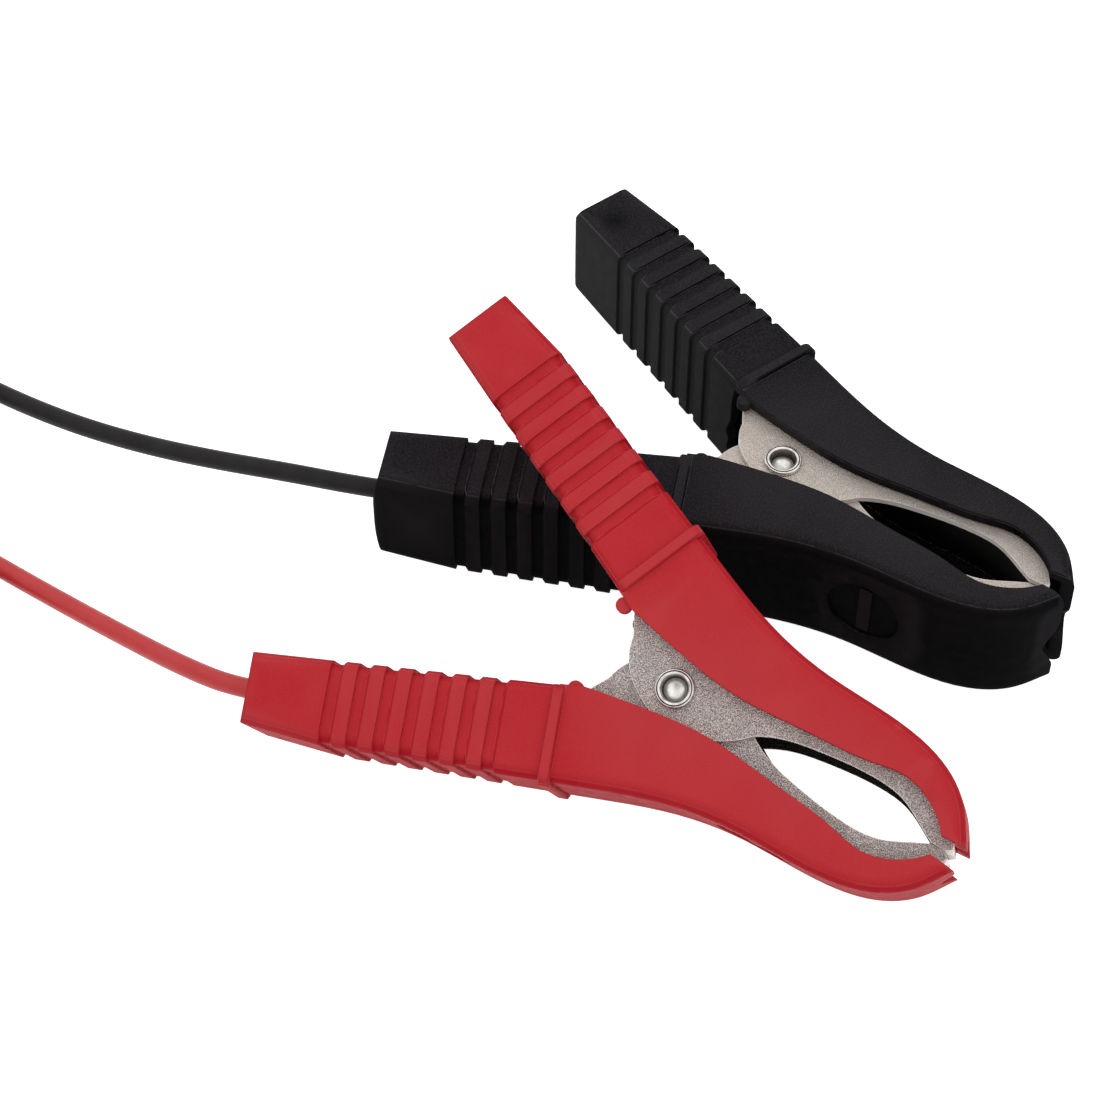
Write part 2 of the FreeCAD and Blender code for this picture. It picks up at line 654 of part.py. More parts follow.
def main():
    os.makedirs("parts", exist_ok=True)
    black_place = FreeCAD.Placement(BLACK_PLACE, FreeCAD.Rotation(BLACK_TURN, 0, 0))
    red_place = FreeCAD.Placement(RED_PLACE, FreeCAD.Rotation(RED_TURN, RED_NOSE_DOWN, RED_ROLL))
    shared = clamp_pieces()
    clamps = clamp("black", shared, black_place, BLACK_SLEEVE_PUSH, False)
    clamps.update(clamp("red", shared, red_place, 0.0, True))
    leads = lead("black", black_place, BLACK_ROUTE)
    leads.update(lead("red", red_place, RED_ROUTE))
    box = Part.makeCompound(list(clamps.values())).optimalBoundingBox(True, False)
    shift = V(-box.Center.x, -box.Center.y, -box.ZMin)
    print("shift", shift, "size", box.XLength, box.YLength, box.ZLength)
    for name, place, push in (("black", black_place, BLACK_SLEEVE_PUSH), ("red", red_place, 0.0)):
        pivot = place.multVec(V(-push, 0, 0)) + shift
        axis = place.Rotation.multVec(V(0, 0, 1))
        print(name, "rivet at", pivot, "along", axis)
    for name, shape in list(clamps.items()) + list(leads.items()):
        save(name, shape, shift)


main()
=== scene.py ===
import json
import math

import bpy
from mathutils import Euler, Matrix, Vector


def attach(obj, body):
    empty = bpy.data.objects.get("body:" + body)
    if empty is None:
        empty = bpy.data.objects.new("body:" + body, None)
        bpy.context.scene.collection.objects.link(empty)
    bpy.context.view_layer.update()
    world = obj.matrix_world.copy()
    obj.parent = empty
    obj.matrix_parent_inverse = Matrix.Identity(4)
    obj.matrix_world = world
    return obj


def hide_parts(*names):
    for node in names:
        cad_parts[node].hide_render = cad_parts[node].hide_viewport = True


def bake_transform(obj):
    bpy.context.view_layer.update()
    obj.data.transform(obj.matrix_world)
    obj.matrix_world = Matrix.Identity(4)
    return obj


# Two insulated battery clamps on their leads, black lying flat and red leaning on it.
# The scene is in metres, in the frame of the CAD model: +Z up, the camera looks from -Y.
# Lengths are named in millimetres, as in the CAD model, and MM brings them to metres.

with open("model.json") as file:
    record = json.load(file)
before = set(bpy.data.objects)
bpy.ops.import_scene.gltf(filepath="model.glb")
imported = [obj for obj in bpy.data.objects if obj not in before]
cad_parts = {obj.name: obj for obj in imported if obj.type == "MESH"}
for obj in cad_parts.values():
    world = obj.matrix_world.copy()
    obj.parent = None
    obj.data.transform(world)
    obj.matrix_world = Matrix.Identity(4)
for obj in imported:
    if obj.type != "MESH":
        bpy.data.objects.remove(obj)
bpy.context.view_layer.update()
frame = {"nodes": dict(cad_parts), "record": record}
nodes = frame["nodes"]

MM = 0.001
CLAMPS = ("black", "red")

# The set is moved by this much after its pieces are placed, so that it stands centred
SET_SHIFT = Vector((-18.451, 7.096, 0.0))

# The photograph's view, about the point that it shows at its middle
VIEW_POINT = (SET_SHIFT + Vector((0, 0, 0.8))) * MM
VIEW_DISTANCE = 572.0 * MM
VIEW_ELEVATION = 52.0
SENSOR = 36.0
LENS = 105.5

# Where the frame of each clamp lies before the shift, and its turns in degrees
CLAMP_PLACE = {"black": Vector((41.95, 1.72, 12.6)), "red": Vector((21.55, -46.3, 21.15))}
CLAMP_TURN = {"black": (0.0, 0.0, -32.24), "red": (28.34, 7.58, -32.34)}

# How far forward the sleeves sit on the metal
SLEEVE_PUSH = {"black": 2.0, "red": 0.0}

# The grips: their angle, their two ends along the handle, and their narrowing
HANDLE_ANGLE = math.radians(22.0)
HANDLE_START = 18.2
HANDLE_END = 71.2
SLEEVE_HALF = 11.8
SLEEVE_TAPER = 0.0218
INNER_FACE = 5.0

# Edges are softened by this much, and more near the ends of the grips
EDGE_SOFTNESS = 0.3
END_SOFTNESS = 1.6
END_RIM = 4.5

# Painted marks on the sleeves: the depth under the broad face of the parting line's painted
# highlight, the painted highlight lines on both sides of the guard rib, and painted shade on a sink mark at
# the end of the upper grip
PARTING_DEPTH = 0.45
PARTING_HALF = 0.11
GUARD_MIDDLE = 18.25
GUARD_HALF = 1.05
GUARD_EDGE = 0.2
SINK_SHADE_PLACE = (64.0, 9.0)
SINK_SHADE_RADIUS = 3.2

# Painted shade in the inside of the folded jaws ends behind the bite
JAW_HOLLOW_HALF = {"lower": 7.25, "upper": 8.35}
JAW_HOLLOW_END = 46.0

# Fineness of the grain, in marks per metre
SLEEVE_GRAIN = 3200.0
JAW_GRAIN = 5600.0
METAL_WEAR = 800.0

# The rivet's rolled head: two beads with a line between them, round the cup; the cup's wall and the line get
# painted shade
RIVET_TOP = 10.2
CUP_RADIUS = 2.4
CUP_SHADE = (1.15, 1.6)
BEAD_LINE = 2.85
BEAD_LINE_HALF = 0.12

# Leads, before the shift, with the same points as the CAD tubes
LEAD_DIAMETER = 3.5
LEAD_LIFT = 0.05
LEAD_PLACE = 10.2
LEAD_START = 62.0
LEAD_STRAIGHT = 74.0
LEAD_ROUTE = {
    "black": [(-46.2, 8.9, 11.7), (-59.2, 13.3, 9.7), (-72.0, 18.7, 7.2), (-85.0, 25.2, 4.9),
              (-98.0, 33.1, 2.9), (-110.5, 41.6, 1.8), (-122.5, 50.1, 1.8)],
    "red": [(-62.0, -31.9, 9.6), (-73.8, -22.9, 6.8), (-85.6, -13.7, 4.2), (-97.4, -4.8, 2.5),
            (-108.5, 3.4, 1.8)],
}

# The spare lead's coil: the last fifth of each turn leads over to the next one
COIL_MIDDLE = 19.25
COIL_STEPS = 16
COIL_CHANGE = 0.2

# The terminal on the coil: its place round it and its turn away from it, in degrees
TERMINAL_TURN = 70.0
TERMINAL_SPREAD = 40.0
TERMINAL_SLEEVE = 2.5
TERMINAL_INSET = 1.5
TERMINAL_CLIMB = 1.2

# Torsion spring on each rivet, with a leg under the web of each arm
SPRING_RADIUS = 4.5
SPRING_WIRE = 1.52
SPRING_TOP = 4.65
SPRING_COILS = 5
SPRING_STEPS = 24
SPRING_LEG = (24.0, 13.9)

# Studio, in metres and watts
WORLD_LIGHT = 0.7
FLOOR_GLOW = 0.93
FLOOR_HALF = 2.0
FLOOR_HEIGHT = -0.0002
LAMP_PLACE = Vector((0.0, 0.1, 1.0))
LAMP_SIDE = 2.0
LAMP_POWER = 4.2


def clamp_matrix(clamp):
    """From a clamp's own frame, in millimetres, to the model's frame, in metres."""
    turn = Euler([math.radians(angle) for angle in CLAMP_TURN[clamp]], "XYZ").to_matrix().to_4x4()
    place = Matrix.Translation((CLAMP_PLACE[clamp] + SET_SHIFT) * MM)
    return place @ turn @ Matrix.Scale(MM, 4)


def on_handle(along, out):
    """Place in a clamp's frame, so far along the upper handle and so far out on it."""
    return Vector((-along * math.cos(HANDLE_ANGLE) + out * math.sin(HANDLE_ANGLE),
                   along * math.sin(HANDLE_ANGLE) + out * math.cos(HANDLE_ANGLE)))


def in_lower_grip(clamp, along):
    """Point of the lead's middle line inside the lower grip."""
    x, y = on_handle(along, LEAD_PLACE)
    return clamp_matrix(clamp) @ Vector((x, -y, 0.0))


def add_object(name, data):
    made = bpy.data.objects.new(name, data)
    bpy.context.scene.collection.objects.link(made)
    return made


def add_camera():
    turn = math.radians(VIEW_ELEVATION)
    data = bpy.data.cameras.new("photo_camera")
    data.sensor_width = SENSOR
    data.lens = LENS
    data.clip_start = 0.01
    camera = add_object("photo_camera", data)
    camera.location = VIEW_POINT + VIEW_DISTANCE * Vector((0, -math.cos(turn), math.sin(turn)))
    camera.rotation_euler = (math.pi / 2 - turn, 0, 0)
    bpy.context.scene.camera = camera


def tube(name, kind, points, radius, roundness):
    """Curve with a round section, and its spline. The radius is each point's own, because a
    curve's box grows by it."""
    curve = bpy.data.curves.new(name, "CURVE")
    curve.dimensions = "3D"
    curve.bevel_depth = 1.0
    curve.bevel_resolution = roundness
    curve.use_fill_caps = True
    spline = curve.splines.new(kind)
    spline.points.add(len(points) - 1)
    for target, point in zip(spline.points, points):
        target.co = (*point, 1.0)
        target.radius = radius
    return curve, spline


def around(centre, radius, angle, height):
    """Point on a level circle about the centre."""
    return Vector((centre.x + radius * math.cos(angle), centre.y + radius * math.sin(angle), height))


def coil_points(route):
    """Turns of the spare lead: outer and inner turn on the floor, then back out on top."""
    last = Vector(route[-1])
    heading = (last - Vector(route[-2])).xy.normalized()
    left = Vector((-heading.y, heading.x))
    outer = COIL_MIDDLE + LEAD_DIAMETER / 2
    inner = COIL_MIDDLE - LEAD_DIAMETER / 2
    centre = last.xy + left * outer
    entry = math.atan2(-left.y, -left.x)
    low = LEAD_DIAMETER / 2 + LEAD_LIFT
    high = low + LEAD_DIAMETER
    turns = [(outer, low), (inner, low), (inner, high), (outer, high)]
    points = []
    for step in range(1, COIL_STEPS * len(turns) + 1):
        place = step / COIL_STEPS
        index = min(int(place), len(turns) - 1)
        change = max(0.0, (place - index - (1.0 - COIL_CHANGE)) / COIL_CHANGE)
        radius, height = turns[index]
        next_radius, next_height = turns[min(index + 1, len(turns) - 1)]
        radius += (next_radius - radius) * change
        height += (next_height - height) * change
        points.append(around(centre, radius, entry + 2 * math.pi * place, height))
    return points, centre, entry


def terminal_points(centre, entry):
    """The lead's last stretch, up onto the coil and into the terminal's sleeve."""
    low = LEAD_DIAMETER * 1.5 + LEAD_LIFT
    high = LEAD_DIAMETER * 2 + LEAD_LIFT * 2 + TERMINAL_SLEEVE
    outer = COIL_MIDDLE + LEAD_DIAMETER / 2
    points = []
    for share in (0.25, 0.5, 0.75):
        angle = entry + math.radians(TERMINAL_TURN * share)
        radius = outer + (COIL_MIDDLE - outer) * share
        points.append(around(centre, radius, angle, low + (high - low) * min(1.0, share * TERMINAL_CLIMB)))
    angle = entry + math.radians(TERMINAL_TURN)
    start = around(centre, COIL_MIDDLE, angle, high)
    heading = angle - math.radians(TERMINAL_SPREAD)
    way = Vector((-math.sin(heading), math.cos(heading), 0.0))
    return [*points, start, start + way * TERMINAL_INSET]


def add_lead(clamp):
    """The whole lead as one spline, from inside the grip to its terminal."""
    turns, centre, entry = coil_points(LEAD_ROUTE[clamp])
    rest = [Vector(point) for point in LEAD_ROUTE[clamp]] + turns + terminal_points(centre, entry)
    points = [in_lower_grip(clamp, LEAD_START), in_lower_grip(clamp, LEAD_STRAIGHT)]
    points += [(point + SET_SHIFT) * MM for point in rest]
    curve, spline = tube(clamp + "_cable", "NURBS", points, LEAD_DIAMETER / 2 * MM, 6)
    curve.resolution_u = 6
    spline.order_u = 3
    spline.use_endpoint_u = True
    cable = add_object(clamp + "_cable", curve)
    bpy.context.view_layer.update()
    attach(cable, clamp + "_lower_half")
    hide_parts(clamp + "_lead", clamp + "_lead_coil")
    return cable


def spring_points():
    """Middle line of the spring in the metal's own frame: leg, winding, leg."""
    leg = on_handle(*SPRING_LEG)
    leaving = math.atan2(leg.y, leg.x) - math.acos(SPRING_RADIUS / leg.length)
    sweep = 2 * leaving + 2 * math.pi * SPRING_COILS
    steps = SPRING_STEPS * SPRING_COILS
    axis = Vector((0.0, 0.0))
    winding = []
    for step in range(steps + 1):
        share = step / steps
        winding.append(around(axis, SPRING_RADIUS, sweep * share - leaving, SPRING_TOP * (2 * share - 1)))
    return [Vector((leg.x, -leg.y, -SPRING_TOP)), *winding, Vector((leg.x, leg.y, SPRING_TOP))]


def add_spring(clamp):
    """The wound spring, with a leg along each half of the clamp."""
    place = clamp_matrix(clamp) @ Matrix.Translation((-SLEEVE_PUSH[clamp], 0, 0))
    points = [place @ point for point in spring_points()]
    curve, _ = tube(clamp + "_wound_spring", "POLY", points, SPRING_WIRE / 2 * MM, 4)
    drawn = bpy.data.objects.new(clamp + "_spring_line", curve)
    mesh = bpy.data.meshes.new_from_object(drawn)
    mesh.materials.clear()
    bpy.data.objects.remove(drawn)
    spring = add_object(clamp + "_wound_spring", mesh)
    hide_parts(clamp + "_spring")
    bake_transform(spring)
    return spring


class Surface:
    """A node material that starts as one shader, with short calls for its nodes."""

    def __init__(self, name):
        self.material = bpy.data.materials.new(name)
        self.material.use_nodes = True
        self.tree = self.material.node_tree
        self.tree.nodes.clear()
        output = self.tree.nodes.new("ShaderNodeOutputMaterial")
        self.shader = self.tree.nodes.new("ShaderNodeBsdfPrincipled")
        self.tree.links.new(self.shader.outputs[0], output.inputs["Surface"])
        coordinates = self.tree.nodes.new("ShaderNodeTexCoord").outputs
        self.place = coordinates["Object"]
        self.normal = coordinates["Normal"]

    def node(self, kind, **settings):
        made = self.tree.nodes.new("ShaderNode" + kind)
        for name, value in settings.items():
            setattr(made, name, value)
        return made

    def put(self, value, target):
        """Links a socket to the target, or writes a number or colour into it."""
        if isinstance(value, bpy.types.NodeSocket):
            self.tree.links.new(value, target)
        else:
            target.default_value = value

    def feed(self, node, **inputs):
        """Puts a value into each of a node's inputs that is named."""
        for name, value in inputs.items():
            self.put(value, node.inputs[name.replace("_", " ")])
        return node

    def noise(self, scale, detail=2.0, roughness=0.5):
        node = self.node("TexNoise")
        self.feed(node, Vector=self.place, Scale=scale, Detail=detail, Roughness=roughness)
        return node.outputs["Fac"]

    def ramp(self, value, low, high, start=0.0, end=1.0):
        """Straight change from start to end while the value goes from low to high."""
        node = self.node("MapRange", clamp=True)
        self.feed(node, Value=value, From_Min=low, From_Max=high, To_Min=start, To_Max=end)
        return node.outputs["Result"]

    def mix(self, share, first, second):
        """Colour between the first and the second by the share."""
        node = self.node("Mix", data_type="RGBA")
        for index, value in ((0, share), (6, first), (7, second)):
            self.put(value, node.inputs[index])
        return node.outputs[2]

    def math(self, operation, first, second=0.0):
        node = self.node("Math", operation=operation)
        self.put(first, node.inputs[0])
        self.put(second, node.inputs[1])
        return node.outputs[0]

    def dot(self, first, second):
        node = self.node("VectorMath", operation="DOT_PRODUCT")
        self.put(first, node.inputs[0])
        self.put(second, node.inputs[1])
        return node.outputs["Value"]

    def bump(self, height, strength, distance, normal=None):
        node = self.node("Bump")
        self.feed(node, Height=height, Strength=strength, Distance=distance)
        if normal is not None:
            self.feed(node, Normal=normal)
        return node.outputs["Normal"]

    def rounded(self, radius):
        """Normal that turns softly over sharp edges."""
        node = self.node("Bevel", samples=6)
        self.feed(node, Radius=radius)
        return node.outputs["Normal"]

    def edge_lines(self, radius):
        """Share that is full on the very edges and nothing beyond the radius."""
        flat = self.node("NewGeometry").outputs["True Normal"]
        return self.ramp(self.dot(self.rounded(radius), flat), 0.88, 0.99, 1.0, 0.0)

    def edges(self):
        """Share that rises on outward edges."""
        return self.ramp(self.node("NewGeometry").outputs["Pointiness"], 0.5, 0.56)

    def finish(self, **inputs):
        self.feed(self.shader, **inputs)
        return self.material


def colour(red, green, blue):
    return (red, green, blue, 1.0)


def clamp_coordinates(surface, clamp):
    """Object coordinates turned into the clamp's own frame, in metres."""
    mapping = surface.node("Mapping", vector_type="TEXTURE")
    turn = [math.radians(angle) for angle in CLAMP_TURN[clamp]]
    surface.feed(mapping, Vector=surface.place, Location=(CLAMP_PLACE[clamp] + SET_SHIFT) * MM, Rotation=turn)
    split = surface.node("SeparateXYZ")
    surface.feed(split, Vector=mapping.outputs["Vector"])
    return split.outputs


def turned_to_axis(surface, clamp):
    """How far a face is turned to the rivet's axis: 1 on the near broad faces, -1 on the far ones."""
    axis = (clamp_matrix(clamp).to_3x3() @ Vector((0, 0, 1))).normalized()
    return surface.dot(surface.normal, axis)


def facing_share(surface, clamp):
    """Share that is full on the clamp's broad faces and nothing on its narrow ones."""
    return surface.ramp(surface.math("ABSOLUTE", turned_to_axis(surface, clamp)), 0.65, 0.97)


def handle_place(surface, place):
    """How far along and how far out on its handle a point lies, upper or lower."""
    cosine = math.cos(HANDLE_ANGLE)
    sine = math.sin(HANDLE_ANGLE)
    aside = surface.math("ABSOLUTE", place["Y"])
    along = surface.math("SUBTRACT", surface.math("MULTIPLY", aside, sine),
                         surface.math("MULTIPLY", place["X"], cosine))
    out = surface.math("ADD", surface.math("MULTIPLY", aside, cosine),
                       surface.math("MULTIPLY", place["X"], sine))
    return along, out


def band(surface, value, middle, half_width):
    """Share that is full at the middle value and falls to nothing at the half width."""
    away = surface.math("ABSOLUTE", surface.math("SUBTRACT", value, middle))
    return surface.ramp(away, 0.0, half_width, 1.0, 0.0)


def distance(surface, first, second):
    """Length of the two legs of a right angle taken together."""
    squares = surface.math("ADD", surface.math("MULTIPLY", first, first),
                           surface.math("MULTIPLY", second, second))
    return surface.math("SQRT", squares)


def face_depth(surface, place, along):
    """Depth of a point under the sleeve's broad face on the viewer's side."""
    past_start = surface.math("MAXIMUM", surface.math("SUBTRACT", along, HANDLE_START * MM), 0.0)
    narrowing = surface.math("MULTIPLY", past_start, SLEEVE_TAPER)
    return surface.math("SUBTRACT", SLEEVE_HALF * MM, surface.math("ADD", place["Z"], narrowing))


def parting_line_highlight(surface, place, along, facing):
    """Share of a broken painted highlight along the line left by the mould, on the narrow faces near the
    viewer's side.
    """
    painted_line = band(surface, face_depth(surface, place, along), PARTING_DEPTH * MM, PARTING_HALF * MM)
    broken = surface.math("MULTIPLY", painted_line, surface.ramp(surface.noise(500.0), 0.3, 0.5))
    return surface.math("MULTIPLY", broken, surface.ramp(facing, 0.2, 0.6, 1.0, 0.0))


def guard_highlights(surface, along, facing):
    """Share of the two painted highlight lines along the guard rib, on the broad faces."""
    from_middle = surface.math("ABSOLUTE", surface.math("SUBTRACT", along, GUARD_MIDDLE * MM))
    painted_lines = surface.math("MULTIPLY", band(surface, from_middle, GUARD_HALF * MM, GUARD_EDGE * MM), facing)
    return surface.math("MULTIPLY", painted_lines, 0.6)


def sink_mark_shade(surface, place, along, out):
    """Share of a soft spot of painted shade on a sink mark at the end of the upper grip, on the viewer's
    side.
    """
    away = distance(surface, surface.math("SUBTRACT", along, SINK_SHADE_PLACE[0] * MM),
                    surface.math("SUBTRACT", out, SINK_SHADE_PLACE[1] * MM))
    upper = surface.math("GREATER_THAN", place["Y"], 0.0)
    near_side = surface.math("GREATER_THAN", place["Z"], 0.0)
    spot = surface.ramp(away, 0.0, SINK_SHADE_RADIUS * MM, 0.7, 0.0)
    return surface.math("MULTIPLY", spot, surface.math("MULTIPLY", upper, near_side))


def sleeve_normal(surface, along, facing, grain):
    """Softened edges, more so near the grip's end, with slow waves and grained broad faces."""
    rim = HANDLE_END - END_RIM
    softness = surface.ramp(along, rim * MM, (rim + 1.0) * MM, EDGE_SOFTNESS * MM, END_SOFTNESS * MM)
    waves = surface.bump(surface.noise(150.0), 0.3, 0.0004, surface.rounded(softness))
    return surface.bump(surface.math("MULTIPLY", grain, facing), 0.5, 0.00008, waves)


def sleeve_material(clamp, broad, painted_side_shade, inner, speckle_and_highlight, painted_line, rough, gloss, grain_share):
    """Soft vinyl with painted shading: its tone on the broad faces, lit and shaded copies on the outer and
    inner faces, pale speckles, and painted highlights on edges and lines.
    """
    surface = Surface(clamp + "_sleeve")
    place = clamp_coordinates(surface, clamp)
    along, out = handle_place(surface, place)
    facing = facing_share(surface, clamp)
    grain = surface.noise(SLEEVE_GRAIN, 2.0, 0.6)
    speckle = surface.math("MULTIPLY", surface.ramp(grain, 0.42, 0.68), grain_share)
    cloudy = surface.ramp(surface.noise(70.0, 3.0), 0.35, 0.65, 0.0, 0.3)
    broad_shade = surface.mix(speckle, surface.mix(cloudy, broad, painted_side_shade), speckle_and_highlight)
    # Painted shading: the outer and inner faces take their own lit and shaded tones in place of the broad
    # faces' tone
    inner_face = surface.ramp(out, INNER_FACE * MM, (INNER_FACE + 1.0) * MM, 1.0, 0.0)
    narrow_shade = surface.mix(inner_face, painted_side_shade, inner)
    shade = surface.mix(facing, narrow_shade, broad_shade)
    # On the black sleeve, painted shade: a spot of the outer faces' shaded tone on the sink mark
    if clamp == "black":
        shade = surface.mix(sink_mark_shade(surface, place, along, out), shade, painted_side_shade)
    # Painted highlight: the pale tone laid a quarter over outward edges
    shade = surface.mix(surface.math("MULTIPLY", surface.edges(), 0.25), shade, speckle_and_highlight)
    # Painted highlight along the mould's parting line
    shade = surface.mix(parting_line_highlight(surface, place, along, facing), shade, painted_line)
    # Painted highlight lines on both sides of the guard rib
    shade = surface.mix(guard_highlights(surface, along, facing), shade, painted_line)
    roughness = surface.ramp(surface.noise(600.0, 3.0), 0.3, 0.7, rough - 0.07, rough + 0.07)
    return surface.finish(Base_Color=shade, Roughness=roughness, Specular_IOR_Level=gloss,
                          Normal=sleeve_normal(surface, along, facing, grain))


def jaw_shaded_inside(surface, clamp):
    """Share of painted shade in the folded jaw's inside: the inner cheeks, and all between them behind the
    bite.
    """
    place = clamp_coordinates(surface, clamp)
    outwards = surface.math("MULTIPLY", turned_to_axis(surface, clamp), surface.math("SIGN", place["Z"]))
    inner_cheek = surface.ramp(outwards, -0.6, -0.3, 1.0, 0.0)
    upper = surface.math("GREATER_THAN", place["Y"], 0.0)
    hollow_half = surface.ramp(upper, 0.0, 1.0, JAW_HOLLOW_HALF["lower"] * MM, JAW_HOLLOW_HALF["upper"] * MM)
    between = surface.math("LESS_THAN", surface.math("ABSOLUTE", place["Z"]), hollow_half)
    behind_bite = surface.math("LESS_THAN", place["X"], JAW_HOLLOW_END * MM)
    return surface.math("MAXIMUM", inner_cheek, surface.math("MULTIPLY", between, behind_bite))


def jaw_material(clamp, base, dark, edge_highlight, shaded_inside):
    """Plated sheet steel: granular outer faces, a painted highlight on cut faces and edges, and painted shade
    inside.
    """
    surface = Surface(clamp + "_jaw_steel")
    grain = surface.noise(JAW_GRAIN, 2.0, 0.6)
    patches = surface.ramp(surface.noise(250.0, 3.0), 0.35, 0.65, 0.0, 0.25)
    shade = surface.mix(surface.ramp(grain, 0.42, 0.58), dark, base)
    shade = surface.mix(patches, shade, dark)
    # Painted highlight: the pale tone on the narrow cut faces of the sheet
    shade = surface.mix(facing_share(surface, clamp), edge_highlight, shade)
    # Painted highlight along every edge
    shade = surface.mix(surface.edge_lines(EDGE_SOFTNESS * MM), shade, edge_highlight)
    # Painted shade inside the folded jaw
    shade = surface.mix(jaw_shaded_inside(surface, clamp), shade, shaded_inside)
    roughness = surface.ramp(grain, 0.3, 0.7, 0.6, 0.4)
    normal = surface.bump(grain, 0.9, 0.0002)
    return surface.finish(Base_Color=shade, Metallic=0.9, Roughness=roughness, Normal=normal)


def cup_and_line_shade(surface, clamp):
    """Shares of painted shade on the cup's wall in a rivet and on the line between the beads of its head."""
    place = clamp_coordinates(surface, clamp)
    forward = surface.math("ADD", place["X"], SLEEVE_PUSH[clamp] * MM)
    away = distance(surface, forward, place["Y"])
    height = surface.math("ABSOLUTE", place["Z"])
    shaded_inside = surface.ramp(away, CUP_RADIUS * MM, (CUP_RADIUS + 0.1) * MM, 1.0, 0.0)
    deep = surface.ramp(height, (RIVET_TOP - 1.0) * MM, (RIVET_TOP - 0.2) * MM, 1.0, 0.0)
    wall = surface.ramp(away, CUP_SHADE[0] * MM, CUP_SHADE[1] * MM)
    cup_wall_shade = surface.math("MULTIPLY", surface.math("MULTIPLY", shaded_inside, deep), wall)
    on_head = surface.math("GREATER_THAN", height, (RIVET_TOP - 0.4) * MM)
    painted_line = surface.math("MULTIPLY", on_head, band(surface, away, BEAD_LINE * MM, BEAD_LINE_HALF * MM))
    return cup_wall_shade, painted_line


def rivet_material(base, dark, rough):
    """Plated rivet with painted shade in its cup and on the line between the two beads of its rolled head."""
    surface = Surface("rivet_steel")
    cup_wall_shades, painted_lines = zip(*(cup_and_line_shade(surface, clamp) for clamp in CLAMPS))
    cup_wall_shade = surface.math("MULTIPLY", surface.math("MAXIMUM", *cup_wall_shades), 0.9)
    painted_line = surface.math("MAXIMUM", *painted_lines)
    shade = surface.mix(surface.ramp(surface.noise(700.0, 4.0), 0.4, 0.75, 0.0, 0.6), base, dark)
    # Painted shade on the cup's wall and on the line between the beads
    shade = surface.mix(cup_wall_shade, shade, dark)
    shade = surface.mix(painted_line, shade, dark)
    roughness = surface.ramp(surface.noise(1400.0), 0.3, 0.7, rough - 0.05, rough + 0.1)
    groove = surface.bump(surface.math("MULTIPLY", painted_line, -1.0), 1.0, 0.0002)
    normal = surface.bump(surface.noise(900.0, 3.0), 0.3, 0.0001, groove)
    return surface.finish(Base_Color=shade, Metallic=1.0, Roughness=roughness, Normal=normal)


def metal_material(name, base, dark, rough):
    """Bare or plated metal, worn in patches, with fine marks."""
    surface = Surface(name)
    wear = surface.ramp(surface.noise(METAL_WEAR, 4.0), 0.35, 0.7)
    roughness = surface.ramp(surface.noise(METAL_WEAR * 2), 0.3, 0.7, rough - 0.05, rough + 0.08)
    normal = surface.bump(surface.noise(METAL_WEAR, 3.0), 0.2, 0.00005)
    return surface.finish(Base_Color=surface.mix(wear, base, dark), Metallic=1.0, Roughness=roughness,
                          Normal=normal)


def jacket_material(name, base, speckle_and_highlight, rough, gloss):
    """Smooth plastic with a faint waviness."""
    surface = Surface(name)
    cloudy = surface.ramp(surface.noise(220.0, 3.0), 0.35, 0.65, 0.0, 0.4)
    roughness = surface.ramp(surface.noise(1200.0), 0.3, 0.7, rough - 0.05, rough + 0.05)
    normal = surface.bump(surface.noise(420.0), 0.2, 0.0001)
    return surface.finish(Base_Color=surface.mix(cloudy, base, speckle_and_highlight), Roughness=roughness,
                          Normal=normal, Specular_IOR_Level=gloss)


# Each sleeve: a tone for the broad faces, lit and shaded tones of painted shading for the outer and inner
# faces, a pale tone for speckle and painted highlights, and a paler tone for painted highlight lines
def sleeve_materials():
    return {
        "red_sleeve": sleeve_material(
            "red", rough=0.5, gloss=0.02, grain_share=0.12,
            broad=colour(0.56, 0.032, 0.039), painted_side_shade=colour(0.47, 0.012, 0.022),
            inner=colour(0.48, 0.018, 0.027), speckle_and_highlight=colour(0.60, 0.090, 0.095),
            painted_line=colour(0.62, 0.105, 0.110)),
        "black_sleeve": sleeve_material(
            "black", rough=0.62, gloss=0.01, grain_share=0.45,
            broad=colour(0.0155, 0.0142, 0.0165), painted_side_shade=colour(0.0036, 0.0036, 0.0039),
            inner=colour(0.028, 0.0295, 0.030), speckle_and_highlight=colour(0.055, 0.050, 0.057),
            painted_line=colour(0.110, 0.102, 0.110)),
    }


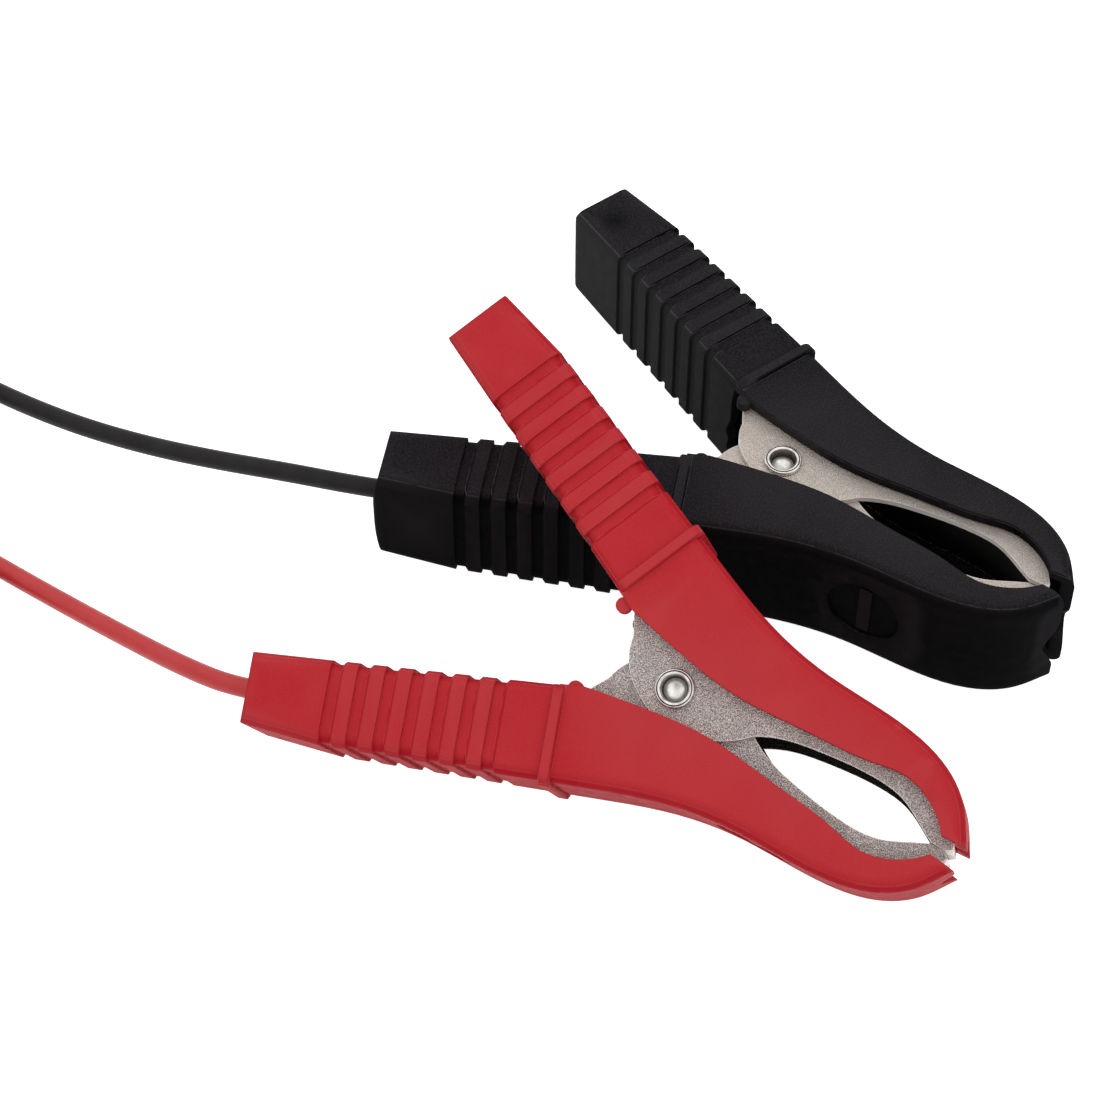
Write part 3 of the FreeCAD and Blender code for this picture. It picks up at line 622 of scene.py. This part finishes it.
# Each jaw: grained tones, a pale tone of painted highlight for cut faces and edges, and a dark tone of
# painted shade for the inside
def metal_materials():
    return {
        "red_jaw_steel": jaw_material(
            "red", base=colour(0.68, 0.61, 0.575), dark=colour(0.22, 0.195, 0.185),
            edge_highlight=colour(0.85, 0.82, 0.79), shaded_inside=colour(0.05, 0.045, 0.042)),
        "black_jaw_steel": jaw_material(
            "black", base=colour(0.78, 0.70, 0.64), dark=colour(0.43, 0.38, 0.34),
            edge_highlight=colour(0.88, 0.84, 0.79), shaded_inside=colour(0.02, 0.018, 0.017)),
        # The rivet's dark tone serves its worn patches and the painted shade in the cup and the bead line
        "rivet_steel": rivet_material(
            colour(0.72, 0.69, 0.66), colour(0.08, 0.073, 0.066), rough=0.25),
        "spring_steel": metal_material(
            "spring_steel", colour(0.50, 0.49, 0.48), colour(0.25, 0.25, 0.25), rough=0.35),
        "copper_strand": metal_material(
            "copper_strand", colour(0.62, 0.27, 0.13), colour(0.35, 0.14, 0.07), rough=0.35),
        "crimp_brass": metal_material(
            "crimp_brass", colour(0.66, 0.50, 0.24), colour(0.40, 0.30, 0.15), rough=0.35),
        "terminal_tin": metal_material(
            "terminal_tin", colour(0.50, 0.49, 0.47), colour(0.33, 0.32, 0.30), rough=0.3),
    }


def jacket_materials():
    return {
        "red_lead_jacket": jacket_material(
            "red_lead_jacket", colour(0.55, 0.036, 0.038), colour(0.64, 0.055, 0.056),
            rough=0.38, gloss=0.35),
        "black_lead_jacket": jacket_material(
            "black_lead_jacket", colour(0.018, 0.016, 0.018), colour(0.035, 0.032, 0.035),
            rough=0.45, gloss=0.12),
        "red_terminal_sleeve": jacket_material(
            "red_terminal_sleeve", colour(0.40, 0.015, 0.02), colour(0.50, 0.03, 0.035),
            rough=0.3, gloss=0.35),
        "black_terminal_sleeve": jacket_material(
            "black_terminal_sleeve", colour(0.01, 0.01, 0.01), colour(0.02, 0.02, 0.02),
            rough=0.3, gloss=0.35),
    }


def dress_nodes(materials):
    """Every CAD node gets the finished material of its slot."""
    for part in frame["record"]["subparts"]:
        node = nodes[part["node"]]
        node.data.materials.clear()
        node.data.materials.append(materials[part["material_slot"]])


def seen_rays(tree):
    """Full for rays that show the background itself: from the camera, off gloss, through glass."""
    ways = tree.nodes.new("ShaderNodeLightPath").outputs
    share = ways["Is Camera Ray"]
    for other in ("Is Glossy Ray", "Is Transmission Ray"):
        either = tree.nodes.new("ShaderNodeMath")
        either.operation = "MAXIMUM"
        tree.links.new(share, either.inputs[0])
        tree.links.new(ways[other], either.inputs[1])
        share = either.outputs[0]
    return share


def add_floor():
    """White paper, a hair under the part, that keeps the part's shadow."""
    data = bpy.data.meshes.new("floor")
    corners = [(x * FLOOR_HALF, y * FLOOR_HALF, 0) for x, y in ((-1, -1), (1, -1), (1, 1), (-1, 1))]
    data.from_pydata(corners, [], [(0, 1, 2, 3)])
    floor = add_object("floor", data)
    floor.location = (0, 0, FLOOR_HEIGHT)
    surface = Surface("floor_white")
    shade = surface.mix(surface.noise(900.0), colour(0.78, 0.78, 0.78), colour(0.82, 0.82, 0.82))
    glow = surface.math("MULTIPLY", seen_rays(surface.tree), FLOOR_GLOW)
    data.materials.append(surface.finish(Base_Color=shade, Roughness=0.9, Emission_Color=colour(1, 1, 1),
                                         Emission_Strength=glow))


def add_world():
    """Even studio light that the camera and the metal see as white."""
    world = bpy.data.worlds.new("studio")
    world.use_nodes = True
    tree = world.node_tree
    background = tree.nodes["Background"]
    background.inputs["Color"].default_value = colour(1, 1, 1)
    strength = tree.nodes.new("ShaderNodeMapRange")
    strength.inputs["To Min"].default_value = WORLD_LIGHT
    strength.inputs["To Max"].default_value = 1.0
    tree.links.new(seen_rays(tree), strength.inputs["Value"])
    tree.links.new(strength.outputs["Result"], background.inputs["Strength"])
    bpy.context.scene.world = world


def add_lamp():
    """Large soft lamp overhead, turned towards the middle of the set."""
    data = bpy.data.lights.new("overhead", "AREA")
    data.size = LAMP_SIDE
    data.energy = LAMP_POWER
    lamp = add_object("overhead", data)
    lamp.location = LAMP_PLACE
    lamp.rotation_euler = (-LAMP_PLACE).to_track_quat("-Z", "Y").to_euler()


add_camera()
leads = {clamp: add_lead(clamp) for clamp in CLAMPS}
springs = [add_spring(clamp) for clamp in CLAMPS]
materials = {**sleeve_materials(), **metal_materials(), **jacket_materials()}
dress_nodes(materials)
for clamp, cable in leads.items():
    cable.data.materials.append(materials[clamp + "_lead_jacket"])
for spring in springs:
    spring.data.materials.append(materials["spring_steel"])
add_floor()
add_world()
add_lamp()
bpy.context.scene.view_settings.view_transform = "Standard"
